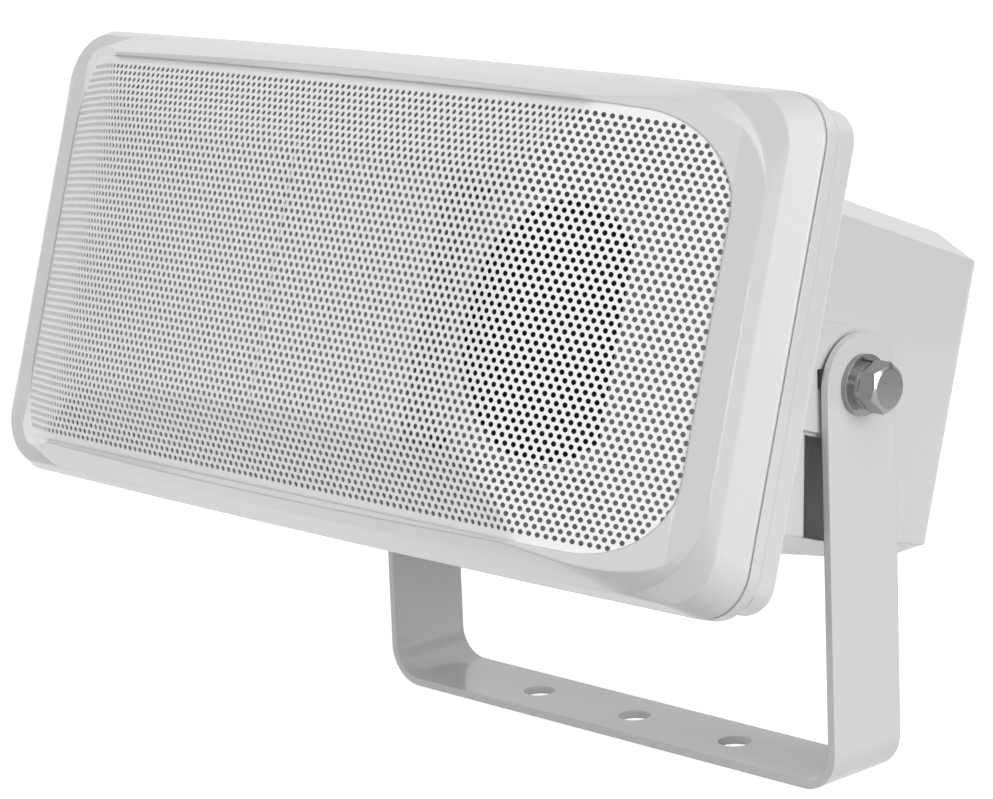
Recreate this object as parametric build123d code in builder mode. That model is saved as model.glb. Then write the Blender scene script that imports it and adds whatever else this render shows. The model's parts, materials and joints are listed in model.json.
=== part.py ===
from build123d import *
from math import asin, cos, degrees, hypot, radians, sin, tan
import os

# A weatherproof horn loudspeaker that tilts on a folded steel bracket.
# The bracket's base centre is the origin, +Z is up and the grille faces -Y.
# Head sizes are given from the tilt axis: along the head's width, its height and its aim.

os.makedirs("parts", exist_ok=True)

# Head: front
head_tilt = 17.4
pivot_height = 100.4
pivot_to_parting = 86.4
front_width = 256.4
front_end_height = 115.4
front_bow_height = 0.8
front_corner = 12.0
bezel_depth = 30.2
rear_end_angle = 34.2
rear_side_angle = 14.3
rear_corner_angle = 16.2
front_end_angle = 57.8
front_side_angle = 17.2
front_corner_angle = 22.5
crown_end_angle = 17.0
crease_end_depth = 6.5
crease_side_depth = 19.6
crease_corner = 13.0
crest_corner = 24.0
side_corner = 27.0
crown_corner = 30.0
rim_knee_from_end = 40.1
rim_knee_drop = 3.2
rim_lip_from_end = 8.1
rim_lip_rise = 2.15
rim_lip_thickness = 0.8
rim_end_depth = 8.2

# Head: grille
rim_end_width = 7.4
rim_side_width = 1.7
opening_corner = 20.0
grille_sheet = 0.6
grille_skirt = 4.1
grille_tuck = 1.5
grille_side_tuck = 0.15
grille_clearance = 0.2
grille_crown = 5.5
grille_bow_radius = 962.0
grille_flat_height = 58.0
grille_knee_radius = 45.0
grille_hole = 7.2
grille_pitch = 12.4
grille_hole_margin = 7.5
ledge_width = 1.3

# Head: housing
gasket_thickness = 0.4
gasket_inset = 0.3
lip_depth = 3.6
flange_inset = 0.5
flange_side_inset = 2.2
flange_corner = 7.5
flange_depth = 7.4
flange_back_round = 2.5
flare_inset = 7.7
flare_side_inset = 2.0
flare_chamfer = 18.0
flare_chamfer_ratio = 0.8
flare_depth = 31.0
case_width = 149.4
case_height = 87.9
case_side_draft = 1.4
case_top_draft = 3.0
case_chamfer = 13.0
case_chamfer_ratio = 0.45
pivot_to_back = 44.7
case_back_round = 4.0
housing_wall = 3.0
pad_height = 1.3
pad_width = 26.8
pad_reach = 14.3
pad_corner = 8.5
pad_front = 38.0
pocket_depth = 17.0
pocket_gap = 1.0
pocket_front = 12.7
pocket_front_slant = 6.5
pocket_back = 9.0
pocket_height = 24.2
pocket_wall = 2.0
boss_diameter = 18.0
boss_root = 1.5

# Head: horn and driver
horn_depth = 59.6
horn_wall = 2.5
mouth_flange_width = 7.5
mouth_flange_height = 5.0
mouth_flange_thickness = 2.5
throat_box_width = 69.0
throat_box_height = 68.0
throat_box_depth = 13.0
throat_diameter = 67.0
throat_plate = 80.0
throat_plate_thickness = 2.5
throat_plate_corner = 8.0
driver_frame = 77.0
driver_frame_corner = 10.0
driver_frame_thickness = 2.0
driver_gasket_thickness = 1.5
driver_screw_spacing = 64.0
driver_screw_diameter = 4.0
driver_screw_head = 7.5
driver_screw_head_height = 2.6
basket_depth = 20.0
basket_wall = 1.2
basket_mouth_diameter = 62.0
basket_wall_diameter = 69.0
basket_bottom_diameter = 57.0
basket_window = 24.0
basket_ledge_height = 5.0
basket_ledge_width = 5.0
surround_lip = 2.3
surround_roll = 5.0
surround_roll_height = 2.2
surround_roll_top = 1.8
surround_sheet = 0.6
cone_edge = 1.5
cone_depth = 12.0
cone_paper = 0.7
coil_diameter = 20.6
coil_former = 0.4
coil_winding = 0.4
coil_winding_height = 7.0
dust_cap_diameter = 25.0
dust_cap_height = 4.5
dust_cap_top = 13.0
spider_thickness = 0.7
magnet_diameter = 60.0
magnet_bore = 30.0
magnet_thickness = 10.0
plate_diameter = 50.0
plate_thickness = 5.0
gap_clearance = 0.5
terminal_width = 12.0
terminal_height = 10.0
terminal_thickness = 1.2
terminal_tag = 2.4
terminal_tag_pitch = 6.0
terminal_tag_length = 4.8
terminal_tag_rise = 7.5

# Pivot hardware: quarter-inch bolt, washers and insert
bolt_diameter = 6.35
bolt_length = 20.0
bolt_across_flats = 11.1
bolt_head_height = 5.2
bolt_head_turn = 13.0
bolt_face = 9.8
bolt_face_angle = 30.0
pivot_clearance = 0.05
flat_washer_diameter = 15.0
flat_washer_thickness = 1.6
spring_washer_diameter = 12.0
spring_washer_thickness = 2.0
spring_washer_slit = 1.2
friction_washer_diameter = 23.4
friction_washer_thickness = 1.0
friction_tab_reach = 12.5
friction_tab_width = 4.6
friction_tab_rise = 3.1
washer_hole_clearance = 0.2
insert_diameter = 10.0
insert_length = 14.3
insert_recess = 0.2

# Bracket: folded strip
strip_width = 25.0
strip_thickness = 2.0
bend_radius = 10.0
base_hole_diameter = 8.4
base_hole_spacing = 35.0
base_hole_count = 3

# Housing screws and cable gland
screw_diameter = 3.5
screw_length = 16.0
screw_head = 6.0
screw_head_height = 2.2
screw_from_end = 12.0
screw_from_side = 10.9
screw_clearance = 0.1
gland_drop = 20.0
gland_thread = 12.5
gland_across_flats = 17.0
gland_hex_height = 4.5
gland_neck = 6.0
gland_bore = 8.0
gland_dome_height = 14.0
gland_dome_slope = 4.7
gland_dome_inset = 2.8
gland_mouth = 6.6
gland_nut_height = 4.0
gland_seal_length = 7.0
fit_clearance = 0.05

# Frames: the head's own plane, its plan view and its side view, all through the tilt axis
aim = Vector(0, -cos(radians(head_tilt)), sin(radians(head_tilt)))
head_up = Vector(0, sin(radians(head_tilt)), cos(radians(head_tilt)))
pivot = Vector(0, 0, pivot_height)
HEAD = Plane(origin=pivot, x_dir=(1, 0, 0), z_dir=aim)
PLAN = Plane(origin=pivot, x_dir=(1, 0, 0), z_dir=-head_up)
SIDE = Plane(origin=pivot, x_dir=aim, z_dir=(-1, 0, 0))
PIVOT = Plane(origin=pivot, x_dir=(0, -1, 0), z_dir=(1, 0, 0))

# Stations along the aim
bezel_back = pivot_to_parting
bezel_front = bezel_back + bezel_depth
gasket_back = bezel_back - gasket_thickness
lip_back = gasket_back - lip_depth
flange_back = lip_back - flange_depth
case_front = flange_back - flare_depth
case_back = -pivot_to_back
throat = gasket_back - horn_depth
plate_back = throat - throat_plate_thickness
frame_front = plate_back - driver_gasket_thickness
frame_back = frame_front - driver_frame_thickness
basket_back = frame_front - basket_depth
top_plate_back = basket_back - plate_thickness
magnet_back = top_plate_back - magnet_thickness
yoke_back = magnet_back - plate_thickness

# Stations along the tilt axis, from the middle out
case_half = case_width / 2
pad_face = case_half + pad_height
leg_inside = pad_face + friction_washer_thickness
leg_outside = leg_inside + strip_thickness
flat_washer_outside = leg_outside + flat_washer_thickness
spring_washer_outside = flat_washer_outside + spring_washer_thickness
bolt_tip = spring_washer_outside - bolt_length
insert_outside = pad_face - insert_recess
insert_inside = insert_outside - insert_length
boss_inside = insert_inside - boss_root

# Front outline and rim, worked out from the front's size and its flanks
front_half = front_width / 2
front_half_height = front_end_height / 2
front_mid_height = front_half_height + front_bow_height
crease_half = front_half - crease_end_depth * tan(radians(rear_end_angle))
crest_half = crease_half - (rim_end_depth - crease_end_depth) * tan(radians(front_end_angle))
side_half = crest_half - (crease_side_depth - rim_end_depth) * tan(radians(crown_end_angle))
crown_half = side_half - (bezel_depth - crease_side_depth) * tan(radians(crown_end_angle))
crease_end_height = front_half_height - crease_end_depth * tan(radians(rear_corner_angle))
crest_end_height = crease_end_height - (rim_end_depth - crease_end_depth) * tan(radians(front_corner_angle))
side_end_height = crease_end_height - (crease_side_depth - crease_end_depth) * tan(radians(front_corner_angle))
crown_end_height = crease_end_height - (bezel_depth - crease_end_depth) * tan(radians(front_corner_angle))
crease_mid_height = front_mid_height - crease_end_depth * tan(radians(rear_side_angle))
crest_mid_height = front_mid_height - rim_end_depth * tan(radians(rear_side_angle))
side_mid_height = front_mid_height - crease_side_depth * tan(radians(rear_side_angle))
crown_mid_height = side_mid_height - (bezel_depth - crease_side_depth) * tan(radians(front_side_angle))
crest_station = bezel_back + rim_end_depth
opening_half = crest_half - rim_end_width
opening_half_height = crown_mid_height - rim_side_width
mouth_half = opening_half - ledge_width
mouth_half_height = opening_half_height - ledge_width
mouth_corner = opening_corner - ledge_width
rim_knee = crest_half - rim_knee_from_end
rim_knee_station = bezel_front - rim_knee_drop
rim_lip = crest_half - rim_lip_from_end
rim_lip_station = crest_station + rim_lip_rise
rim_end_slope = rim_lip_rise / rim_lip_from_end
rim_slope = (rim_knee_station - rim_lip_station) / (rim_lip - rim_knee)


def bowed_outline(plane, half_length, end_height, mid_height, corner):
    """A long outline with gently bowed top and bottom edges and round corners."""
    with BuildSketch(plane) as outline:
        with BuildLine():
            top = ThreePointArc((-half_length, end_height), (0, mid_height), (half_length, end_height))
            bottom = ThreePointArc((-half_length, -end_height), (0, -mid_height), (half_length, -end_height))
            Line(top @ 0, bottom @ 0)
            Line(top @ 1, bottom @ 1)
        make_face()
        fillet(outline.vertices(), radius=corner)
    return outline.sketch


def rim_form(drop):
    """All that lies behind the rim's face, lowered by a drop along the aim."""
    knee = (rim_knee, rim_knee_station - drop)
    lip = (rim_lip, rim_lip_station - drop)
    end = front_half + bezel_depth
    end_station = crest_station - drop - (end - crest_half) * rim_end_slope
    floor = bezel_back - bezel_depth
    with BuildPart() as form:
        with BuildSketch(PLAN):
            with BuildLine():
                ThreePointArc((-knee[0], knee[1]), (0, bezel_front - drop), knee)
                Polyline(knee, lip, (end, end_station), (end, floor),
                         (-end, floor), (-end, end_station), (-lip[0], lip[1]), (-knee[0], knee[1]))
            make_face()
        extrude(amount=front_end_height, both=True)
    return form.part


def prism(half_length, half_height, corner, low, high):
    """A rounded block along the aim, between two stations."""
    with BuildPart() as block:
        with BuildSketch(HEAD.offset(low)):
            RectangleRounded(2 * half_length, 2 * half_height, corner)
        extrude(amount=high - low)
    return block.part


def bezel_section(depth, half_length, end_height, mid_height, corner):
    """The bezel's outline at a depth in front of the parting line."""
    return bowed_outline(HEAD.offset(bezel_back + depth), half_length, end_height, mid_height, corner)


# Front bezel: drafted bands that meet in soft creases, cut by the bowed rim, with a lip for the grille
pocket_half = opening_half + grille_tuck + grille_clearance
pocket_half_height = opening_half_height + grille_side_tuck + grille_clearance
ledge_drop = rim_lip_thickness + grille_skirt + 2 * grille_clearance
lip_opening = prism(opening_half, opening_half_height, opening_corner, bezel_back, bezel_front)
pocket_prism = prism(pocket_half, pocket_half_height, opening_corner + grille_tuck, bezel_back, bezel_front)
sound_opening = prism(mouth_half, mouth_half_height, mouth_corner, bezel_back, bezel_front)
grille_pocket = (pocket_prism & rim_form(rim_lip_thickness)) - rim_form(ledge_drop)
lip_cut = lip_opening - rim_form(ledge_drop)
screw_u = front_half - screw_from_end
screw_v = front_half_height - screw_from_side
screw_places = [(a * screw_u, b * screw_v) for a in (-1, 1) for b in (-1, 1)]
screw_tip = flange_back + screw_length
with BuildPart() as front_bezel:
    loft([bezel_section(0, front_half, front_half_height, front_mid_height, front_corner),
          bezel_section(crease_end_depth, crease_half, crease_end_height, crease_mid_height, crease_corner),
          bezel_section(rim_end_depth, crest_half, crest_end_height, crest_mid_height, crest_corner),
          bezel_section(crease_side_depth, side_half, side_end_height, side_mid_height, side_corner),
          bezel_section(bezel_depth, crown_half, crown_end_height, crown_mid_height, crown_corner)], ruled=True)
    add(rim_form(0), mode=Mode.INTERSECT)
    add(sound_opening, mode=Mode.SUBTRACT)
    add(grille_pocket, mode=Mode.SUBTRACT)
    add(lip_cut, mode=Mode.SUBTRACT)
    with BuildSketch(HEAD.offset(bezel_back)):
        with Locations(*screw_places):
            Circle(screw_diameter / 2 + fit_clearance)
    extrude(amount=screw_tip - bezel_back + screw_clearance, mode=Mode.SUBTRACT)
front_bezel.part.label = "front_bezel"
export_step(front_bezel.part, "parts/front_bezel.step")


# Grille: bowed sheet whose ends, top and bottom bend back under the rim, with a skirt round its edge
grille_half = opening_half + grille_tuck
grille_half_height = opening_half_height + grille_side_tuck
grille_front = bezel_front + grille_crown
grille_drop = rim_lip_thickness + grille_clearance
grille_end_station = rim_lip_station - (opening_half - rim_lip) * rim_slope - grille_drop
grille_side_slope = (grille_crown + grille_drop) / (opening_half_height - grille_flat_height / 2)
end_rise = grille_front - grille_end_station - opening_half * rim_slope
grille_knee = grille_bow_radius * (rim_slope - (rim_slope**2 + 2 * end_rise / grille_bow_radius) ** 0.5)
grille_swing = degrees(asin(front_half / grille_bow_radius))


def grille_form(inset):
    """The grille's outer form, or its hollow when inset by the sheet."""
    half = grille_half - inset
    half_height = grille_half_height - inset
    crown = grille_front - inset
    knee = (grille_knee, crown - grille_knee**2 / grille_bow_radius / 2)
    end = (half, grille_end_station - inset - (half - opening_half) * rim_slope)
    flat = grille_flat_height / 2
    reach = grille_bow_radius - inset
    side_reach = reach - (half_height - flat) * grille_side_slope
    floor_reach = reach - 2 * bezel_depth
    bow_centre = pivot + aim * (grille_front - grille_bow_radius)
    start_aim = aim * cos(radians(grille_swing)) - Vector(sin(radians(grille_swing)), 0, 0)
    bow_start = Plane(origin=bow_centre, x_dir=start_aim, z_dir=start_aim.cross(head_up))
    with BuildPart() as form:
        with BuildSketch(PLAN) as plan:
            with BuildLine():
                ThreePointArc((-knee[0], knee[1]), (0, crown), knee)
                Polyline(knee, end, (half, bezel_back), (-half, bezel_back), (-end[0], end[1]),
                         (-knee[0], knee[1]))
            make_face()
            fillet(plan.vertices().group_by(Axis.Y)[-1], radius=grille_knee_radius)
        extrude(amount=front_end_height, both=True)
        with BuildSketch(bow_start):
            with BuildLine():
                Polyline((reach, -flat), (reach, flat), (side_reach, half_height), (floor_reach, half_height),
                         (floor_reach, -half_height), (side_reach, -half_height), (reach, -flat))
            make_face()
        revolve(axis=Axis(bow_centre, head_up), revolution_arc=2 * grille_swing, mode=Mode.INTERSECT)
        with BuildSketch(HEAD.offset(bezel_back)):
            RectangleRounded(2 * half, 2 * half_height, opening_corner + grille_tuck - inset)
        extrude(amount=2 * bezel_depth, mode=Mode.INTERSECT)
    return form.part


grille_outer = grille_form(0)
grille_hollow = grille_form(grille_sheet)
skirt_floor = rim_form(grille_drop + grille_skirt)
row_pitch = grille_pitch * cos(radians(30))
hole_rows = int(opening_half_height / row_pitch)
hole_columns = int(opening_half / grille_pitch) + 1
corner_u = opening_half - opening_corner
corner_v = opening_half_height - opening_corner
hole_places = []
for row in range(-hole_rows, hole_rows + 1):
    for column in range(-hole_columns, hole_columns + 1):
        u = grille_pitch * (column + 0.5 * (row % 2))
        v = row_pitch * row
        past_corner = hypot(max(abs(u) - corner_u, 0), max(abs(v) - corner_v, 0))
        if past_corner < opening_corner - grille_hole_margin:
            hole_places.append((u, v))
with BuildPart() as grille:
    add(grille_outer)
    add(grille_hollow, mode=Mode.SUBTRACT)
    add(skirt_floor, mode=Mode.SUBTRACT)
    with BuildSketch(HEAD.offset(bezel_back)):
        with Locations(*hole_places):
            RegularPolygon(grille_hole / 2, 6, major_radius=False)
    extrude(amount=2 * bezel_depth, mode=Mode.SUBTRACT)
grille.part.label = "grille"
export_step(grille.part, "parts/grille.step")


# Gasket between bezel and housing
gasket_outline = bowed_outline(HEAD.offset(gasket_back), front_half - gasket_inset,
                               front_half_height - gasket_inset, front_mid_height - gasket_inset,
                               front_corner - gasket_inset)
with BuildPart() as flange_gasket:
    extrude(gasket_outline, amount=gasket_thickness)
    with BuildSketch(HEAD.offset(gasket_back)):
        RectangleRounded(2 * mouth_half, 2 * mouth_half_height, mouth_corner)
        with Locations(*screw_places):
            Circle(screw_diameter / 2 + screw_clearance)
    extrude(amount=gasket_thickness, mode=Mode.SUBTRACT)
flange_gasket.part.label = "flange_gasket"
export_step(flange_gasket.part, "parts/flange_gasket.step")


def chamfered_outline(station, half_length, half_height, chamfer_width, chamfer_ratio, wall):
    """A rectangle with cut corners at a station along the aim, inset all round by a wall."""
    inner_chamfer = chamfer_width - wall * (1 + (1 - hypot(1, chamfer_ratio)) / chamfer_ratio)
    half = half_length - wall
    half_height = half_height - wall
    flat = half - inner_chamfer
    flat_height = half_height - inner_chamfer * chamfer_ratio
    with BuildSketch(HEAD.offset(station)) as outline:
        Polygon((flat, half_height), (-flat, half_height), (-half, flat_height), (-half, -flat_height),
                (-flat, -half_height), (flat, -half_height), (half, -flat_height), (half, flat_height),
                align=None)
    return outline.sketch


def case_section(station, wall):
    """The tapered rear case's section at a station along the aim, inset by a wall."""
    return chamfered_outline(station, case_half + station * tan(radians(case_side_draft)),
                             case_height / 2 + station * tan(radians(case_top_draft)), case_chamfer,
                             case_chamfer_ratio, wall)


# Rear housing: lip, flange, flare and tapered case in one moulding, with pads, bosses and pockets
flange_half = front_half - flange_inset
flange_half_height = front_half_height - flange_side_inset
flare_half = flange_half - flare_inset
flare_half_height = flange_half_height - flare_side_inset
cavity_back = case_back + housing_wall
seat_station = gasket_back - mouth_flange_thickness
flange_outline = bowed_outline(HEAD.offset(flange_back), flange_half, flange_half_height,
                               front_mid_height - flange_side_inset, flange_corner)
lip_outline = bowed_outline(HEAD.offset(lip_back), front_half, front_half_height, front_mid_height,
                            front_corner)
flare_outline = chamfered_outline(flange_back, flare_half, flare_half_height, flare_chamfer,
                                  flare_chamfer_ratio, 0)
cavity_outline = chamfered_outline(flange_back, flare_half, flare_half_height, flare_chamfer,
                                   flare_chamfer_ratio, housing_wall)
flange_seat = prism(mouth_half + mouth_flange_width + fit_clearance,
                    mouth_half_height + mouth_flange_height + fit_clearance,
                    mouth_corner + mouth_flange_height, seat_station, gasket_back)
pocket_top = -pad_width / 2 - pocket_gap
pocket_bottom = pocket_top - pocket_height
pocket_floor = pad_face - pocket_depth
pocket_corners = [(pocket_front, pocket_top), (pocket_front - pocket_front_slant, pocket_bottom),
                  (-pocket_back, pocket_bottom), (-pocket_back, pocket_top)]
gland_place = (0, -gland_drop)
with BuildPart() as flange_block:
    extrude(flange_outline, amount=flange_depth)
    flange_rear = flange_block.faces().sort_by(Axis(pivot, aim))[0]
    fillet(flange_rear.edges(), radius=flange_back_round)
with BuildPart() as pocket_blocks:
    for side in (-1, 1):
        with BuildSketch(SIDE.offset(side * (pocket_floor - pocket_wall))):
            Polygon(*pocket_corners, align=None)
            offset(amount=pocket_wall, kind=Kind.INTERSECTION)
        extrude(amount=side * (case_half - pocket_floor + pocket_wall))
    loft([case_section(case_back, 0), case_section(case_front, 0)], ruled=True, mode=Mode.INTERSECT)
with BuildPart() as rear_housing:
    loft([case_section(case_back, 0), case_section(case_front, 0)], ruled=True)
    back_face = rear_housing.faces().sort_by(Axis(pivot, aim))[0]
    fillet(back_face.edges(), radius=case_back_round)
    with BuildSketch(SIDE) as pad:
        with Locations(((pad_front - pad_reach) / 2, 0)):
            Rectangle(pad_front + pad_reach, pad_width)
        fillet(pad.vertices().group_by(Axis.X)[0], radius=pad_corner)
    extrude(amount=pad_face, both=True)
    loft([case_section(case_front, 0), flare_outline], ruled=True)
    add(flange_block.part)
    extrude(lip_outline, amount=lip_depth)
    loft([case_section(cavity_back, housing_wall), case_section(case_front, housing_wall)], ruled=True,
         mode=Mode.SUBTRACT)
    loft([case_section(case_front, housing_wall), cavity_outline], ruled=True, mode=Mode.SUBTRACT)
    extrude(cavity_outline, amount=seat_station - flange_back, mode=Mode.SUBTRACT)
    add(flange_seat, mode=Mode.SUBTRACT)
    add(pocket_blocks.part)
    for side in (-1, 1):
        with BuildSketch(SIDE.offset(side * boss_inside)):
            Circle(boss_diameter / 2)
        extrude(amount=side * (case_half - boss_root - boss_inside))
        with BuildSketch(SIDE.offset(side * pocket_floor)):
            Polygon(*pocket_corners, align=None)
        extrude(amount=side * (pocket_depth + pad_height), mode=Mode.SUBTRACT)
        with BuildSketch(SIDE.offset(side * insert_inside)):
            Circle(insert_diameter / 2 + fit_clearance)
        extrude(amount=side * (insert_length + insert_recess), mode=Mode.SUBTRACT)
    with BuildSketch(HEAD.offset(flange_back)):
        with Locations(*screw_places):
            Circle(screw_diameter / 2 + screw_clearance)
    extrude(amount=flange_depth + lip_depth, mode=Mode.SUBTRACT)
    with BuildSketch(HEAD.offset(case_back)):
        with Locations(gland_place):
            Circle(gland_thread / 2 + fit_clearance)
    extrude(amount=housing_wall, mode=Mode.SUBTRACT)
rear_housing.part.label = "rear_housing"
export_step(rear_housing.part, "parts/rear_housing.step")


def horn_form(wall):
    """The horn's boxed throat and its four flat walls out to the mouth, grown by a wall."""
    box_half = throat_box_width / 2 + wall
    box_half_height = throat_box_height / 2 + wall
    with BuildPart() as form:
        with BuildSketch(HEAD.offset(throat)):
            Rectangle(2 * box_half, 2 * box_half_height)
        extrude(amount=throat_box_depth)
        with BuildSketch(HEAD.offset(throat + throat_box_depth)):
            Rectangle(2 * box_half, 2 * box_half_height)
        with BuildSketch(HEAD.offset(gasket_back)):
            Rectangle(2 * (mouth_half + wall), 2 * (mouth_half_height + wall))
        loft(ruled=True)
        add(prism(mouth_half + wall, mouth_half_height + wall, mouth_corner + wall, throat, gasket_back),
            mode=Mode.INTERSECT)
    return form.part


# Horn flare: driver plate, boxed throat, flat walls and mouth flange in one moulding
driver_screw_places = GridLocations(driver_screw_spacing, driver_screw_spacing, 2, 2).locations
mouth_flange = prism(mouth_half + mouth_flange_width, mouth_half_height + mouth_flange_height,
                     mouth_corner + mouth_flange_height, seat_station, gasket_back)
plate_block = prism(throat_plate / 2, throat_plate / 2, throat_plate_corner, plate_back, throat)
with BuildPart() as horn_flare:
    add(horn_form(horn_wall))
    add(mouth_flange)
    add(plate_block)
    add(horn_form(0), mode=Mode.SUBTRACT)
    with BuildSketch(HEAD.offset(plate_back)):
        Circle(throat_diameter / 2)
        with Locations(*driver_screw_places):
            Circle(driver_screw_diameter / 2 + fit_clearance)
    extrude(amount=throat_plate_thickness, mode=Mode.SUBTRACT)
horn_flare.part.label = "horn_flare"
export_step(horn_flare.part, "parts/horn_flare.step")

# Driver: round pieces are half sections along the aim, turned about it
AIM_AXIS = Axis(pivot, aim)
former_radius = coil_diameter / 2
winding_radius = former_radius + coil_winding
pole_radius = former_radius - coil_former - gap_clearance
plate_hole_radius = winding_radius + gap_clearance
mouth_radius = basket_mouth_diameter / 2
roll_radius = mouth_radius - surround_roll
cone_back = frame_front - cone_depth
ledge_station = basket_back + basket_ledge_height
bottom_radius = basket_bottom_diameter / 2
wall_radius = basket_wall_diameter / 2
wall_slope = (wall_radius - bottom_radius) / (frame_back - basket_back)
ledge_radius = bottom_radius + basket_ledge_height * wall_slope - basket_wall / 2
cone_slope = cone_depth / (roll_radius - former_radius)
cap_radius = dust_cap_diameter / 2
cap_station = cone_back + (cap_radius - former_radius) * cone_slope


def turned(points):
    """A ring turned about the aim from a closed half section of (station, radius) points."""
    with BuildPart() as ring:
        with BuildSketch(SIDE):
            Polygon(*points, align=None)
        revolve(axis=AIM_AXIS)
    return ring.part


with BuildPart() as driver_gasket:
    with BuildSketch(HEAD.offset(frame_front)):
        RectangleRounded(driver_frame, driver_frame, driver_frame_corner)
        Circle(throat_diameter / 2, mode=Mode.SUBTRACT)
        with Locations(*driver_screw_places):
            Circle(driver_screw_diameter / 2 + screw_clearance, mode=Mode.SUBTRACT)
    extrude(amount=driver_gasket_thickness)
driver_gasket.part.label = "driver_gasket"
export_step(driver_gasket.part, "parts/driver_gasket.step")

basket_bowl = turned([(basket_back, plate_hole_radius), (basket_back, bottom_radius), (frame_back, wall_radius),
                      (frame_back, wall_radius - basket_wall),
                      (basket_back + basket_wall, bottom_radius - basket_wall),
                      (basket_back + basket_wall, plate_hole_radius)])
basket_shelf = turned([(ledge_station - basket_wall, ledge_radius - basket_ledge_width),
                       (ledge_station, ledge_radius - basket_ledge_width),
                       (ledge_station, ledge_radius), (ledge_station - basket_wall, ledge_radius)])
window_low = ledge_station + basket_wall
window_middle = (window_low + frame_back - basket_wall) / 2
window_depth = frame_back - basket_wall - window_low
with BuildPart() as driver_basket:
    with BuildSketch(HEAD.offset(frame_back)):
        RectangleRounded(driver_frame, driver_frame, driver_frame_corner)
        Circle(mouth_radius, mode=Mode.SUBTRACT)
        with Locations(*driver_screw_places):
            Circle(driver_screw_diameter / 2 + screw_clearance, mode=Mode.SUBTRACT)
    extrude(amount=driver_frame_thickness)
    add(basket_bowl)
    add(basket_shelf)
    with BuildSketch(SIDE):
        with Locations((window_middle, 0)):
            Rectangle(window_depth, basket_window)
    extrude(amount=driver_frame, both=True, mode=Mode.SUBTRACT)
    with BuildSketch(PLAN):
        with Locations((0, window_middle)):
            Rectangle(basket_window, window_depth)
    extrude(amount=driver_frame, both=True, mode=Mode.SUBTRACT)
driver_basket.part.label = "driver_basket"
export_step(driver_basket.part, "parts/driver_basket.step")

roll_slant = (surround_roll - surround_roll_top) / 2
surround_front = frame_front + surround_sheet
with BuildPart() as driver_surround:
    add(turned([(surround_front, mouth_radius), (surround_front, mouth_radius + surround_lip),
                (frame_front, mouth_radius + surround_lip), (frame_front, mouth_radius - surround_sheet),
                (frame_front + surround_roll_height, mouth_radius - roll_slant - surround_sheet),
                (frame_front + surround_roll_height, roll_radius + roll_slant + surround_sheet),
                (frame_front, roll_radius + surround_sheet), (frame_front, roll_radius - cone_edge),
                (surround_front, roll_radius - cone_edge), (surround_front, roll_radius),
                (surround_front + surround_roll_height, roll_radius + roll_slant),
                (surround_front + surround_roll_height, mouth_radius - roll_slant)]))
driver_surround.part.label = "driver_surround"
export_step(driver_surround.part, "parts/driver_surround.step")

with BuildPart() as driver_cone:
    add(turned([(cone_back, former_radius + fit_clearance), (frame_front, roll_radius),
                (frame_front - cone_paper, roll_radius),
                (cone_back - cone_paper, former_radius + fit_clearance)]))
driver_cone.part.label = "driver_cone"
export_step(driver_cone.part, "parts/driver_cone.step")

cap_front = cap_station + dust_cap_height
cap_inner = cap_front - cone_paper
with BuildPart() as dust_cap:
    add(turned([(cap_station, cap_radius), (cap_front, dust_cap_top / 2), (cap_front, 0), (cap_inner, 0),
                (cap_inner, dust_cap_top / 2), (cap_station, cap_radius - cone_paper)]))
dust_cap.part.label = "dust_cap"
export_step(dust_cap.part, "parts/dust_cap.step")

with BuildPart() as driver_spider:
    add(turned([(ledge_station, former_radius + fit_clearance), (ledge_station, ledge_radius - basket_wall),
                (ledge_station + spider_thickness, ledge_radius - basket_wall),
                (ledge_station + spider_thickness, former_radius + fit_clearance)]))
driver_spider.part.label = "driver_spider"
export_step(driver_spider.part, "parts/driver_spider.step")

winding_front = basket_back - plate_thickness / 2 + coil_winding_height / 2
winding_back = winding_front - coil_winding_height
with BuildPart() as driver_voice_coil:
    add(turned([(winding_back, former_radius - coil_former), (cone_back, former_radius - coil_former),
                (cone_back, former_radius), (winding_front, former_radius), (winding_front, winding_radius),
                (winding_back, winding_radius)]))
driver_voice_coil.part.label = "driver_voice_coil"
export_step(driver_voice_coil.part, "parts/driver_voice_coil.step")

with BuildPart() as driver_top_plate:
    add(turned([(top_plate_back, plate_hole_radius), (top_plate_back, plate_diameter / 2),
                (basket_back, plate_diameter / 2), (basket_back, plate_hole_radius)]))
driver_top_plate.part.label = "driver_top_plate"
export_step(driver_top_plate.part, "parts/driver_top_plate.step")

with BuildPart() as driver_magnet:
    add(turned([(magnet_back, magnet_bore / 2), (magnet_back, magnet_diameter / 2),
                (top_plate_back, magnet_diameter / 2), (top_plate_back, magnet_bore / 2)]))
driver_magnet.part.label = "driver_magnet"
export_step(driver_magnet.part, "parts/driver_magnet.step")

with BuildPart() as driver_yoke:
    add(turned([(yoke_back, 0), (yoke_back, plate_diameter / 2), (magnet_back, plate_diameter / 2),
                (magnet_back, pole_radius), (basket_back, pole_radius), (basket_back, 0)]))
driver_yoke.part.label = "driver_yoke"
export_step(driver_yoke.part, "parts/driver_yoke.step")

terminal_low = plate_diameter / 2 + screw_clearance
with BuildPart() as driver_terminals:
    with BuildSketch(HEAD.offset(basket_back - terminal_thickness)):
        with Locations((0, terminal_low + terminal_height / 2)):
            Rectangle(terminal_width, terminal_height)
    extrude(amount=terminal_thickness)
    with BuildSketch(HEAD.offset(basket_back - terminal_thickness)):
        with Locations((0, terminal_low + terminal_tag_rise)):
            with GridLocations(terminal_tag_pitch, 0, 2, 1):
                Rectangle(terminal_tag, terminal_thickness)
    extrude(amount=-terminal_tag_length)
driver_terminals.part.label = "driver_terminals"
export_step(driver_terminals.part, "parts/driver_terminals.step")

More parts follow.
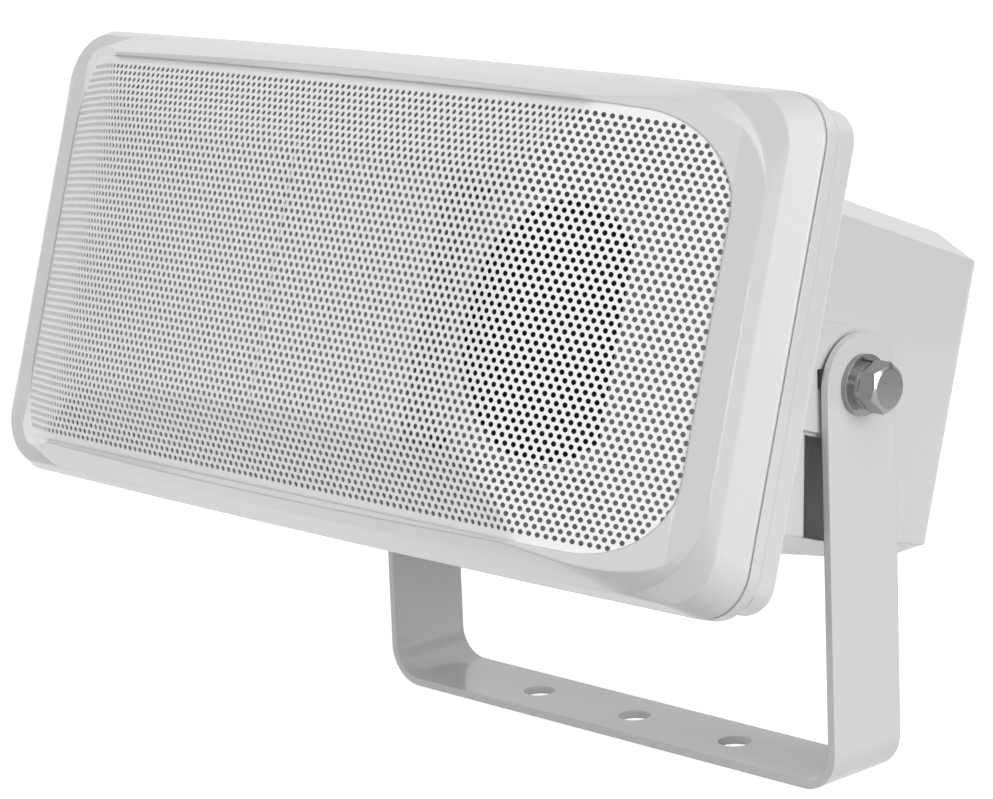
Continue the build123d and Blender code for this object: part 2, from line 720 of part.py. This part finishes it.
with BuildPart() as driver_screws:
    with BuildSketch(HEAD.offset(frame_back)):
        with Locations(*driver_screw_places):
            Circle(driver_screw_head / 2)
    extrude(amount=-driver_screw_head_height)
    with BuildSketch(HEAD.offset(frame_back)):
        with Locations(*driver_screw_places):
            Circle(driver_screw_diameter / 2)
    extrude(amount=throat - frame_back + horn_wall)
driver_screws.part.label = "driver_screws"
export_step(driver_screws.part, "parts/driver_screws.step")

# Screws that hold the bezel to the housing, driven from the back of the flange
with BuildPart() as housing_screws:
    with BuildSketch(HEAD.offset(flange_back)):
        with Locations(*screw_places):
            Circle(screw_head / 2)
    extrude(amount=-screw_head_height)
    with BuildSketch(HEAD.offset(flange_back)):
        with Locations(*screw_places):
            Circle(screw_diameter / 2)
    extrude(amount=screw_length)
housing_screws.part.label = "housing_screws"
export_step(housing_screws.part, "parts/housing_screws.step")

# Bracket: one strip folded into a U, with round eyes at the tops of its legs
leg_top = pivot_height + strip_width / 2
with BuildPart() as bracket:
    with BuildSketch(Plane.XZ):
        with BuildLine():
            FilletPolyline((-leg_outside, leg_top), (-leg_outside, 0), (leg_outside, 0),
                           (leg_outside, leg_top), radius=bend_radius)
            offset(amount=strip_thickness, side=Side.LEFT)
        make_face()
    extrude(amount=strip_width / 2, both=True)
    with BuildSketch(Plane.YZ):
        with Locations((0, pivot_height / 2)):
            Rectangle(strip_width, pivot_height)
        with Locations((0, pivot_height)):
            Circle(strip_width / 2)
    extrude(amount=leg_outside, both=True, mode=Mode.INTERSECT)
    with BuildSketch(Plane.XY):
        with GridLocations(base_hole_spacing, 0, base_hole_count, 1):
            Circle(base_hole_diameter / 2)
    extrude(amount=strip_thickness, mode=Mode.SUBTRACT)
    with BuildSketch(PIVOT):
        Circle(bolt_diameter / 2 + pivot_clearance)
    extrude(amount=leg_outside, both=True, mode=Mode.SUBTRACT)
bracket.part.label = "bracket"
export_step(bracket.part, "parts/bracket.step")


# Pivot stack: the right-hand pieces are made on the tilt axis and mirrored to the left
def washer_pair(inside, thickness, diameter, slit):
    """A pair of washers on the tilt axis, split when a slit is given."""
    with BuildPart() as pair:
        with BuildSketch(PIVOT.offset(inside)):
            Circle(diameter / 2)
            Circle(bolt_diameter / 2 + washer_hole_clearance, mode=Mode.SUBTRACT)
            if slit > 0:
                with Locations((0, -diameter / 2)):
                    Rectangle(slit, diameter, mode=Mode.SUBTRACT)
        extrude(amount=thickness)
        mirror(about=Plane.YZ)
    return pair.part


with BuildPart() as friction_washers:
    with BuildSketch(PIVOT.offset(pad_face)):
        Circle(friction_washer_diameter / 2)
        with Locations((friction_tab_reach / 2, -friction_tab_rise)):
            Rectangle(friction_tab_reach, friction_tab_width)
        Circle(bolt_diameter / 2 + washer_hole_clearance, mode=Mode.SUBTRACT)
    extrude(amount=friction_washer_thickness)
    mirror(about=Plane.YZ)
friction_washers.part.label = "friction_washers"
export_step(friction_washers.part, "parts/friction_washers.step")

with BuildPart() as flat_washers:
    add(washer_pair(leg_outside, flat_washer_thickness, flat_washer_diameter, 0))
flat_washers.part.label = "flat_washers"
export_step(flat_washers.part, "parts/flat_washers.step")

with BuildPart() as spring_washers:
    add(washer_pair(flat_washer_outside, spring_washer_thickness, spring_washer_diameter, spring_washer_slit))
spring_washers.part.label = "spring_washers"
export_step(spring_washers.part, "parts/spring_washers.step")

face_cone = bolt_head_height / tan(radians(bolt_face_angle))
with BuildPart() as pivot_bolts:
    with BuildSketch(PIVOT.offset(spring_washer_outside)):
        RegularPolygon(bolt_across_flats / 2, 6, major_radius=False, rotation=30 - bolt_head_turn)
    extrude(amount=bolt_head_height)
    with BuildSketch(PIVOT.offset(spring_washer_outside)):
        Circle(bolt_face / 2 + face_cone)
    with BuildSketch(PIVOT.offset(spring_washer_outside + bolt_head_height)):
        Circle(bolt_face / 2)
    loft(mode=Mode.INTERSECT)
    with BuildSketch(PIVOT.offset(bolt_tip)):
        Circle(bolt_diameter / 2)
    extrude(amount=bolt_length)
    mirror(about=Plane.YZ)
pivot_bolts.part.label = "pivot_bolts"
export_step(pivot_bolts.part, "parts/pivot_bolts.step")

with BuildPart() as threaded_inserts:
    with BuildSketch(PIVOT.offset(insert_inside)):
        Circle(insert_diameter / 2)
        Circle(bolt_diameter / 2 + fit_clearance, mode=Mode.SUBTRACT)
    extrude(amount=insert_length)
    mirror(about=Plane.YZ)
threaded_inserts.part.label = "threaded_inserts"
export_step(threaded_inserts.part, "parts/threaded_inserts.step")

# Cable gland through the back of the case
GLAND = Plane(origin=HEAD.from_local_coords(Vector(0, -gland_drop, case_back)), x_dir=(1, 0, 0), z_dir=-aim)
neck_end = gland_hex_height + gland_neck
nut_back = gland_hex_height + screw_clearance
seal_radius = gland_thread / 2
with BuildPart() as gland_body:
    with BuildSketch(GLAND):
        RegularPolygon(gland_across_flats / 2, 6, major_radius=False)
    extrude(amount=gland_hex_height)
    with BuildSketch(GLAND.offset(-housing_wall - gland_nut_height)):
        Circle(gland_thread / 2)
    extrude(amount=housing_wall + gland_nut_height + neck_end)
    with BuildSketch(GLAND.offset(-housing_wall - gland_nut_height)):
        Circle(gland_bore / 2)
    extrude(amount=housing_wall + gland_nut_height + neck_end, mode=Mode.SUBTRACT)
gland_body.part.label = "gland_body"
export_step(gland_body.part, "parts/gland_body.step")

with BuildPart() as gland_lock_nut:
    with BuildSketch(GLAND.offset(-housing_wall)):
        RegularPolygon(gland_across_flats / 2, 6, major_radius=False)
        Circle(gland_thread / 2 + fit_clearance, mode=Mode.SUBTRACT)
    extrude(amount=-gland_nut_height)
gland_lock_nut.part.label = "gland_lock_nut"
export_step(gland_lock_nut.part, "parts/gland_lock_nut.step")

with BuildPart() as gland_seal:
    with BuildSketch(GLAND.offset(neck_end)):
        Circle(seal_radius)
        Circle(gland_mouth / 2, mode=Mode.SUBTRACT)
    extrude(amount=gland_seal_length)
gland_seal.part.label = "gland_seal"
export_step(gland_seal.part, "parts/gland_seal.step")

with BuildPart() as gland_dome_nut:
    with BuildSketch(GLAND.offset(nut_back)):
        RegularPolygon(gland_across_flats / 2, 6, major_radius=False)
    extrude(amount=gland_dome_height)
    crown = gland_dome_nut.faces().sort_by(Axis(pivot, aim))[0]
    chamfer(crown.edges(), length=gland_dome_inset, length2=gland_dome_slope, reference=crown)
    with BuildSketch(GLAND.offset(nut_back)):
        Circle(gland_thread / 2 + fit_clearance)
    extrude(amount=neck_end + gland_seal_length - nut_back, mode=Mode.SUBTRACT)
    with BuildSketch(GLAND.offset(nut_back)):
        Circle(gland_mouth / 2)
    extrude(amount=gland_dome_height, mode=Mode.SUBTRACT)
gland_dome_nut.part.label = "gland_dome_nut"
export_step(gland_dome_nut.part, "parts/gland_dome_nut.step")
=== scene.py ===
import json
import math
import bmesh
import bpy
import numpy as np
from mathutils import Matrix, Vector


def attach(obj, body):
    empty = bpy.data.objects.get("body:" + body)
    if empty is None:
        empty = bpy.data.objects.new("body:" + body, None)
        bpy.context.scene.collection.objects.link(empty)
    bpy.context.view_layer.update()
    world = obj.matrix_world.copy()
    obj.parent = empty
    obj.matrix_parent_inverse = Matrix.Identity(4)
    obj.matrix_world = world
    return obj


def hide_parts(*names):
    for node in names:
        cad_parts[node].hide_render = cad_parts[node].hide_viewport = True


# A weatherproof horn loudspeaker on its bracket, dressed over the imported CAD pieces.
# Sizes are in millimetres in the head's own width, height and aim, and turned into metres by head().
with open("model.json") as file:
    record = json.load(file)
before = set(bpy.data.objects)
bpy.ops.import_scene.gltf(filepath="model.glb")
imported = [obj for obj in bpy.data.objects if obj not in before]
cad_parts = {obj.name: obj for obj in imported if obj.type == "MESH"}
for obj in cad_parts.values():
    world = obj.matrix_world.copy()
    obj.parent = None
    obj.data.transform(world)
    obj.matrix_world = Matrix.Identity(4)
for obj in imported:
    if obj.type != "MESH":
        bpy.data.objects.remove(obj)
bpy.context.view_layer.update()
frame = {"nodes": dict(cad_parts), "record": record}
cad = frame["nodes"]
scene = bpy.context.scene

MM = 0.001
TILT = math.radians(17.4)
PIVOT = Vector((0, 0, 100.4))
AIM = Vector((0, -math.cos(TILT), math.sin(TILT)))
HEAD_UP = Vector((0, math.sin(TILT), math.cos(TILT)))


def head(u, v, w):
    """A point of the head, given by its width, height and aim, as a place in metres."""
    return (PIVOT + Vector((u, 0, 0)) + HEAD_UP * v + AIM * w) * MM


# Materials
COAT_ROUGHNESS = 0.08
EDGE_SAMPLES = 6
RELIEF_SCALE = 2500.0
RELIEF_DEPTH = 0.0001


def add_node(tree, kind, **inputs):
    """A shader node with some of its input sockets set."""
    node = tree.nodes.new(kind)
    for socket, value in inputs.items():
        node.inputs[socket.replace("_", " ")].default_value = value
    return node


def opaque(colour):
    """A colour, or a level of grey, with full opacity."""
    if isinstance(colour, tuple):
        return (*colour, 1)
    return (colour, colour, colour, 1)


def surface_normal(tree, place, edge, bump):
    """The normal of softened edges with fine relief over them, or None where a finish has neither."""
    normal = None
    if edge > 0:
        rounded = add_node(tree, "ShaderNodeBevel", Radius=edge * MM)
        rounded.samples = EDGE_SAMPLES
        normal = rounded.outputs["Normal"]
    if bump > 0:
        fine = add_node(tree, "ShaderNodeTexNoise", Scale=RELIEF_SCALE, Detail=2.0)
        relief = add_node(tree, "ShaderNodeBump", Strength=bump, Distance=RELIEF_DEPTH)
        tree.links.new(place, fine.inputs["Vector"])
        tree.links.new(fine.outputs["Fac"], relief.inputs["Height"])
        if normal is not None:
            tree.links.new(normal, relief.inputs["Normal"])
        normal = relief.outputs["Normal"]
    return normal


def material(name, dark, light, rough, scale, bump=0.0, metallic=0.0, edge=0.0, stretch=(1, 1, 1), coat=0.0):
    """A finish whose colour and roughness wander a little, with fine relief and softened edges."""
    made = bpy.data.materials.new(name)
    made.use_nodes = True
    tree = made.node_tree
    tree.nodes.clear()
    out = tree.nodes.new("ShaderNodeOutputMaterial")
    surface = add_node(tree, "ShaderNodeBsdfPrincipled", Metallic=metallic, Coat_Weight=coat,
                       Coat_Roughness=COAT_ROUGHNESS)
    place = tree.nodes.new("ShaderNodeTexCoord")
    mapping = add_node(tree, "ShaderNodeMapping", Scale=stretch)
    broad = add_node(tree, "ShaderNodeTexNoise", Scale=scale, Detail=4.0, Roughness=0.55)
    colours = tree.nodes.new("ShaderNodeMix")
    colours.data_type = "RGBA"
    colours.inputs[6].default_value = opaque(dark)
    colours.inputs[7].default_value = opaque(light)
    roughness = add_node(tree, "ShaderNodeMapRange", To_Min=rough[0], To_Max=rough[1])
    tree.links.new(place.outputs["Object"], mapping.inputs["Vector"])
    tree.links.new(mapping.outputs["Vector"], broad.inputs["Vector"])
    tree.links.new(broad.outputs["Fac"], colours.inputs[0])
    tree.links.new(colours.outputs[2], surface.inputs["Base Color"])
    tree.links.new(broad.outputs["Fac"], roughness.inputs["Value"])
    tree.links.new(roughness.outputs["Result"], surface.inputs["Roughness"])
    normal = surface_normal(tree, mapping.outputs["Vector"], edge, bump)
    if normal is not None:
        tree.links.new(normal, surface.inputs["Normal"])
        tree.links.new(normal, surface.inputs["Coat Normal"])
    tree.links.new(surface.outputs["BSDF"], out.inputs["Surface"])
    return made


finishes = {
    "shell": material("shell", 0.66, 0.67, (0.3, 0.36), 12.0, edge=0.8, coat=0.6),
    "painted_strip": material("painted_strip", 0.66, 0.675, (0.3, 0.36), 20.0, edge=0.5, coat=0.6),
    "grille_sheet": material("grille_sheet", 0.93, 0.95, (0.36, 0.44), 60.0),
    "horn": material("horn", 0.66, 0.68, (0.4, 0.5), 30.0),
    "dark_rubber": material("dark_rubber", 0.018, 0.028, (0.6, 0.75), 200.0, bump=0.1),
    "steel": material("steel", 0.3, 0.38, (0.16, 0.24), 300.0, metallic=1.0, edge=0.2, stretch=(1, 1, 6)),
    "dark_steel": material("dark_steel", 0.02, 0.03, (0.4, 0.5), 120.0),
    "cone_paper": material("cone_paper", 0.02, 0.034, (0.75, 0.9), 260.0, bump=0.25),
    "spider_cloth": material("spider_cloth", (0.36, 0.22, 0.06), (0.46, 0.3, 0.1), (0.7, 0.8), 300.0,
                             bump=0.3),
    "copper": material("copper", (0.5, 0.2, 0.1), (0.6, 0.26, 0.14), (0.3, 0.4), 300.0, metallic=1.0),
    "ferrite": material("ferrite", 0.03, 0.045, (0.55, 0.7), 200.0, bump=0.1),
    "terminal_board": material("terminal_board", (0.1, 0.045, 0.015), (0.14, 0.065, 0.025), (0.5, 0.6),
                               200.0),
    "brass_insert": material("brass_insert", (0.55, 0.36, 0.1), (0.65, 0.44, 0.15), (0.25, 0.35), 200.0,
                             metallic=1.0),
    "gland_plastic": material("gland_plastic", 0.5, 0.54, (0.4, 0.5), 80.0, bump=0.05, edge=0.5),
}
for piece in frame["record"]["subparts"]:
    cad[piece["node"]].material_slots[0].material = finishes[piece["material_slot"]]


# Grille: a bowed sheet of small staggered holes, laid out flat along two profiles and folded up

# The hole lattice, with its shifts as shares of a pitch
HOLE_PITCH = 2.004
ROW_PITCH = HOLE_PITCH * math.sqrt(3) / 2
HOLE_RADIUS = 0.67
HOLE_SIDES = 7
HOLE_EDGE = 0.7
COLUMN_SHIFT = -0.058
ROW_SHIFT = -0.087
ROWS = int(60 / ROW_PITCH)
COLUMNS = int(130 / HOLE_PITCH)

# The six-sided cell around each hole, and the places around its corners and its hole
CELL_SIDES = 6
CELL_RADIUS = HOLE_PITCH / math.sqrt(3)
FIRST_TURN = math.radians(30)
CELL_TURN = math.radians(60)
CELL_TURNS = [math.radians(30 + 60 * k) for k in range(CELL_SIDES)]
HOLE_TURNS = [FIRST_TURN + 2 * math.pi * k / HOLE_SIDES for k in range(HOLE_SIDES)]
CORNERS_PER_MM = 200

# The sheet's thickness, the depth of its folded edge, and the bow of its face along the aim
SHEET = 0.3
SKIRT = 4.1
CROWN = 121.85
BOW = 0.00052

# Where the ends, the top and the bottom bend back, how steeply and how softly
LEFT_BEND = 76.6
LEFT_SLOPE = 0.49
LEFT_ROUND = 16.0
RIGHT_BEND = 69.2
RIGHT_SLOPE = 0.425
RIGHT_ROUND = 7.3
SIDE_BEND = 29.6
SIDE_SLOPE = 0.335
SIDE_ROUND = 2.5
CORNER_BLEND = 0.6

# The sheet's outline
GRILLE_HALF = 114.35
GRILLE_SHIFT = 0.7
GRILLE_HALF_HEIGHT = 48.62
GRILLE_CORNER = 20.5

# How finely the profiles are measured, and past which angle an edge stays sharp
WIDTH_REACH = 140.0
HEIGHT_REACH = 70.0
PROFILE_SAMPLES = 2401
SLOPE_STEP = 0.2
SHARP_ANGLE = math.radians(40)


def ease(x, reach):
    """Zero below the bend and a straight run above it, with a rounded start."""
    return 0.5 * (x + math.sqrt(x * x + reach * reach))


def end_drop(u):
    """How far the ends bend back at a width."""
    if u < 0:
        return LEFT_SLOPE * ease(-u - LEFT_BEND, LEFT_ROUND)
    return RIGHT_SLOPE * ease(u - RIGHT_BEND, RIGHT_ROUND)


def side_drop(v):
    """How far the top and bottom bend back at a height."""
    return SIDE_SLOPE * ease(abs(v) - SIDE_BEND, SIDE_ROUND)


def sheet_aim(u, v):
    """Where the sheet's face lies along the aim."""
    a = end_drop(u)
    b = side_drop(v)
    fold = 0.5 * (a + b + math.sqrt((a - b) ** 2 + CORNER_BLEND**2))
    return CROWN - BOW * u * u - fold


def unrolled(profile, reach):
    """Lengths along a profile and the places they belong to, measured from its middle."""
    places = np.linspace(-reach, reach, PROFILE_SAMPLES)
    heights = np.array([profile(x) for x in places])
    steps = np.hypot(np.diff(places), np.diff(heights))
    lengths = np.concatenate([[0.0], np.cumsum(steps)])
    return lengths - np.interp(0.0, places, lengths), places


width_lengths, width_places = unrolled(lambda u: BOW * u * u + end_drop(u), WIDTH_REACH)
height_lengths, height_places = unrolled(side_drop, HEIGHT_REACH)


def on_sheet(s, t):
    """The width and height of a point on the flat layout."""
    u = np.interp(s, width_lengths, width_places)
    v = np.interp(t, height_lengths, height_places)
    return float(u), float(v)


def past_outline(u, v):
    """How far a point lies outside the sheet's outline, and the nearest point of the outline."""
    core_u = GRILLE_HALF - GRILLE_CORNER
    core_v = GRILLE_HALF_HEIGHT - GRILLE_CORNER
    near_u = min(max(u, GRILLE_SHIFT - core_u), GRILLE_SHIFT + core_u)
    near_v = min(max(v, -core_v), core_v)
    reach = math.hypot(u - near_u, v - near_v)
    if reach < 1e-9:
        return -GRILLE_CORNER, (u, v)
    share = GRILLE_CORNER / reach
    return reach - GRILLE_CORNER, (near_u + (u - near_u) * share, near_v + (v - near_v) * share)


def sheet_normal(u, v):
    """The outward direction of the sheet's face, in width, height and aim."""
    slope_u = (sheet_aim(u + SLOPE_STEP, v) - sheet_aim(u - SLOPE_STEP, v)) / (2 * SLOPE_STEP)
    slope_v = (sheet_aim(u, v + SLOPE_STEP) - sheet_aim(u, v - SLOPE_STEP)) / (2 * SLOPE_STEP)
    return Vector((-slope_u, -slope_v, 1)).normalized()


def hole_rims(mesh, s, t):
    """The corners around one hole, on the sheet's face and behind it."""
    normal = sheet_normal(*on_sheet(s, t))
    front = []
    back = []
    for turn in HOLE_TURNS:
        u, v = on_sheet(s + HOLE_RADIUS * math.cos(turn), t + HOLE_RADIUS * math.sin(turn))
        w = sheet_aim(u, v)
        behind = (u - normal.x * SHEET, v - normal.y * SHEET, w - normal.z * SHEET)
        front.append(mesh.verts.new(head(u, v, w)))
        back.append(mesh.verts.new(head(*behind)))
    return front, back


def fill_cell(mesh, outer, front):
    """Triangles between a cell's corners and its hole, taken in turn around both."""
    i = 0
    j = 0
    while i < CELL_SIDES or j < HOLE_SIDES:
        next_outer = CELL_TURNS[0] + CELL_TURN * (i + 1)
        next_front = HOLE_TURNS[0] + 2 * math.pi * (j + 1) / HOLE_SIDES
        corner = outer[i % CELL_SIDES]
        rim = front[j % HOLE_SIDES]
        if j >= HOLE_SIDES or (i < CELL_SIDES and next_outer <= next_front):
            mesh.faces.new((corner, outer[(i + 1) % CELL_SIDES], rim))
            i += 1
        else:
            mesh.faces.new((corner, front[(j + 1) % HOLE_SIDES], rim))
            j += 1


def wall_hole(mesh, front, back):
    """The wall of one hole."""
    for k in range(HOLE_SIDES):
        m = (k + 1) % HOLE_SIDES
        mesh.faces.new((front[k], front[m], back[m], back[k]))


def build_sheet(mesh):
    """The perforated face with its hole walls, and the corners that lie on its outline."""
    shared = {}
    border = set()

    def corner(s, t):
        key = (round(s * CORNERS_PER_MM), round(t * CORNERS_PER_MM))
        if key not in shared:
            u, v = on_sheet(s, t)
            past, edge = past_outline(u, v)
            inside = past < 0
            if not inside:
                u, v = edge
            shared[key] = (mesh.verts.new(head(u, v, sheet_aim(u, v))), inside)
            if not inside:
                border.add(shared[key][0])
        return shared[key]

    for row in range(-ROWS, ROWS + 1):
        t = ROW_PITCH * (row + ROW_SHIFT)
        for column in range(-COLUMNS, COLUMNS + 1):
            s = HOLE_PITCH * (column + COLUMN_SHIFT + 0.5 * (row % 2))
            past = past_outline(*on_sheet(s, t))[0]
            if past > CELL_RADIUS:
                continue
            ring = [corner(s + CELL_RADIUS * math.cos(a), t + CELL_RADIUS * math.sin(a)) for a in CELL_TURNS]
            outer = [vertex for vertex, _ in ring]
            if not any(inside for _, inside in ring):
                continue
            if past > -HOLE_EDGE or not all(inside for _, inside in ring):
                face = list(dict.fromkeys(outer))
                if len(face) > 2:
                    mesh.faces.new(face)
                continue
            front, back = hole_rims(mesh, s, t)
            fill_cell(mesh, outer, front)
            wall_hole(mesh, front, back)
    return border


def fold_edge(mesh, border):
    """The skirt that folds back from the sheet's outline."""
    rim = [edge for edge in mesh.edges if edge.is_boundary and all(vertex in border for vertex in edge.verts)]
    skirt = bmesh.ops.extrude_edge_only(mesh, edges=rim)
    for item in skirt["geom"]:
        if isinstance(item, bmesh.types.BMVert):
            item.co -= AIM * SKIRT * MM


def build_grille():
    """The perforated sheet, which stands for the CAD grille and tilts with the head."""
    mesh = bmesh.new()
    border = build_sheet(mesh)
    loose = [vertex for vertex in mesh.verts if not vertex.link_faces]
    bmesh.ops.delete(mesh, geom=loose, context="VERTS")
    fold_edge(mesh, border)
    data = bpy.data.meshes.new("grille_sheet")
    mesh.to_mesh(data)
    mesh.free()
    data.polygons.foreach_set("use_smooth", [True] * len(data.polygons))
    data.set_sharp_from_angle(angle=SHARP_ANGLE)
    sheet = bpy.data.objects.new("grille_perforated", data)
    scene.collection.objects.link(sheet)
    data.materials.append(finishes["grille_sheet"])
    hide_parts("grille")
    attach(sheet, "head")


build_grille()


# Studio: pale floor, a tent that is darker behind, soft lights and a grey card, in metres
STUDIO_MIDDLE = Vector((0, -0.05, 0.12))
STUDIO_WHITE = 1.0
FLOOR_SIZE = 14.0
FLOOR_PLACE = (0, 0, -0.0002)
FLOOR_DARK = 0.52
FLOOR_PALE = 0.54
FLOOR_LIFT = 0.82
TENT_FRONT = 0.7
TENT_BACK = 0.16
TENT_TURN = 0.6
CARD_SIZE = 0.44
CARD_PLACE = (0.42, 0.36, 0.12)


def plane(name, size, place):
    """A flat square of the studio."""
    half = size / 2
    corners = [(-half, -half, 0), (half, -half, 0), (half, half, 0), (-half, half, 0)]
    data = bpy.data.meshes.new(name)
    data.from_pydata(corners, [], [(0, 1, 2, 3)])
    made = bpy.data.objects.new(name, data)
    made.location = place
    scene.collection.objects.link(made)
    return made


def seen_directly(tree):
    """One on camera, mirror and clear rays, which are shown the studio's white."""
    path = tree.nodes.new("ShaderNodeLightPath")
    shown = path.outputs["Is Camera Ray"]
    for ray in ("Is Glossy Ray", "Is Transmission Ray"):
        either = tree.nodes.new("ShaderNodeMath")
        either.operation = "MAXIMUM"
        tree.links.new(shown, either.inputs[0])
        tree.links.new(path.outputs[ray], either.inputs[1])
        shown = either.outputs["Value"]
    return shown


def facing_middle(place):
    """The turn that makes a light or card at a place look at the studio's middle."""
    return (STUDIO_MIDDLE - Vector(place)).to_track_quat("-Z", "Y").to_euler()


def lay_floor():
    """A pale floor that keeps the object's shadow and is lifted to white where it is seen."""
    look = bpy.data.materials.new("studio_floor")
    look.use_nodes = True
    tree = look.node_tree
    tree.nodes.clear()
    out = tree.nodes.new("ShaderNodeOutputMaterial")
    noise = add_node(tree, "ShaderNodeTexNoise", Scale=6.0, Detail=3.0)
    tone = add_node(tree, "ShaderNodeMapRange", To_Min=FLOOR_DARK, To_Max=FLOOR_PALE)
    colour = tree.nodes.new("ShaderNodeCombineColor")
    matte = add_node(tree, "ShaderNodeBsdfDiffuse", Roughness=0.5)
    glow = add_node(tree, "ShaderNodeEmission", Color=opaque(STUDIO_WHITE), Strength=FLOOR_LIFT)
    lifted = tree.nodes.new("ShaderNodeAddShader")
    either = tree.nodes.new("ShaderNodeMixShader")
    tree.links.new(noise.outputs["Fac"], tone.inputs["Value"])
    for channel in ("Red", "Green", "Blue"):
        tree.links.new(tone.outputs["Result"], colour.inputs[channel])
    tree.links.new(colour.outputs["Color"], matte.inputs["Color"])
    tree.links.new(matte.outputs["BSDF"], lifted.inputs[0])
    tree.links.new(glow.outputs["Emission"], lifted.inputs[1])
    tree.links.new(seen_directly(tree), either.inputs["Fac"])
    tree.links.new(matte.outputs["BSDF"], either.inputs[1])
    tree.links.new(lifted.outputs["Shader"], either.inputs[2])
    tree.links.new(either.outputs["Shader"], out.inputs["Surface"])
    floor = plane("floor", FLOOR_SIZE, FLOOR_PLACE)
    floor.data.materials.append(look)


def hang_tent():
    """A world that lights the object from the front more than from behind, and is seen as white."""
    world = bpy.data.worlds.new("studio_tent")
    scene.world = world
    world.use_nodes = True
    tree = world.node_tree
    tree.nodes.clear()
    out = tree.nodes.new("ShaderNodeOutputWorld")
    place = tree.nodes.new("ShaderNodeTexCoord")
    split = tree.nodes.new("ShaderNodeSeparateXYZ")
    tone = add_node(tree, "ShaderNodeMapRange", From_Min=-TENT_TURN, From_Max=TENT_TURN, To_Min=TENT_FRONT,
                    To_Max=TENT_BACK)
    level = tree.nodes.new("ShaderNodeMix")
    level.data_type = "FLOAT"
    level.inputs[3].default_value = STUDIO_WHITE
    light = add_node(tree, "ShaderNodeBackground", Color=opaque(STUDIO_WHITE))
    tree.links.new(place.outputs["Generated"], split.inputs["Vector"])
    tree.links.new(split.outputs["Y"], tone.inputs["Value"])
    tree.links.new(seen_directly(tree), level.inputs[0])
    tree.links.new(tone.outputs["Result"], level.inputs[2])
    tree.links.new(level.outputs[0], light.inputs["Strength"])
    tree.links.new(light.outputs["Background"], out.inputs["Surface"])


def softbox(name, place, width, height, level):
    """A soft light that faces the object, as bright as so many times white."""
    data = bpy.data.lights.new(name, "AREA")
    data.shape = "RECTANGLE"
    data.size = width
    data.size_y = height
    data.energy = level * math.pi * width * height
    made = bpy.data.objects.new(name, data)
    made.location = place
    made.rotation_euler = facing_middle(place)
    scene.collection.objects.link(made)


lay_floor()
hang_tent()
softbox("front_box", (0.1, -1.48, 0.57), 0.34, 0.16, 9.0)
softbox("near_box", (1.15, -1.11, 0.46), 0.34, 0.2, 2.6)
softbox("right_box", (1.38, 0.02, 0.5), 0.8, 0.9, 4.8)
softbox("top_box", (0.9, -0.3, 1.2), 0.9, 0.9, 0.75)
softbox("left_top_box", (-1.02, -0.3, 1.1), 0.3, 0.3, 2.0)
softbox("left_box", (-1.1, -1.2, 0.45), 0.5, 0.5, 1.9)
card = plane("grey_card", CARD_SIZE, CARD_PLACE)
card.rotation_euler = facing_middle(CARD_PLACE)
card.data.materials.append(material("studio_card", 0.35, 0.4, (0.8, 0.9), 20.0))


# Camera as fitted to the photograph, with its place in millimetres
CAMERA_LENS = 131.05
CAMERA_SENSOR = 36.0
CAMERA_PLACE = Vector((627.89, -649.705, 285.547))
CAMERA_RIGHT = Vector((0.69902, 0.71405, -0.03874)).normalized()
CAMERA_BACK = Vector((0.70381, -0.67739, 0.21400)).normalized()
CAMERA_NEAR = 0.01
CAMERA_FAR = 60.0


def place_camera():
    """The camera that sees the object as the photograph does."""
    data = bpy.data.cameras.new("photo_camera")
    data.sensor_fit = "HORIZONTAL"
    data.sensor_width = CAMERA_SENSOR
    data.lens = CAMERA_LENS
    data.clip_start = CAMERA_NEAR
    data.clip_end = CAMERA_FAR
    camera = bpy.data.objects.new("photo_camera", data)
    scene.collection.objects.link(camera)
    up = CAMERA_BACK.cross(CAMERA_RIGHT).normalized()
    turn = Matrix((CAMERA_RIGHT, up, CAMERA_BACK)).transposed().to_4x4()
    camera.matrix_world = Matrix.Translation(CAMERA_PLACE * MM) @ turn
    scene.camera = camera


place_camera()
scene.view_settings.view_transform = "Standard"
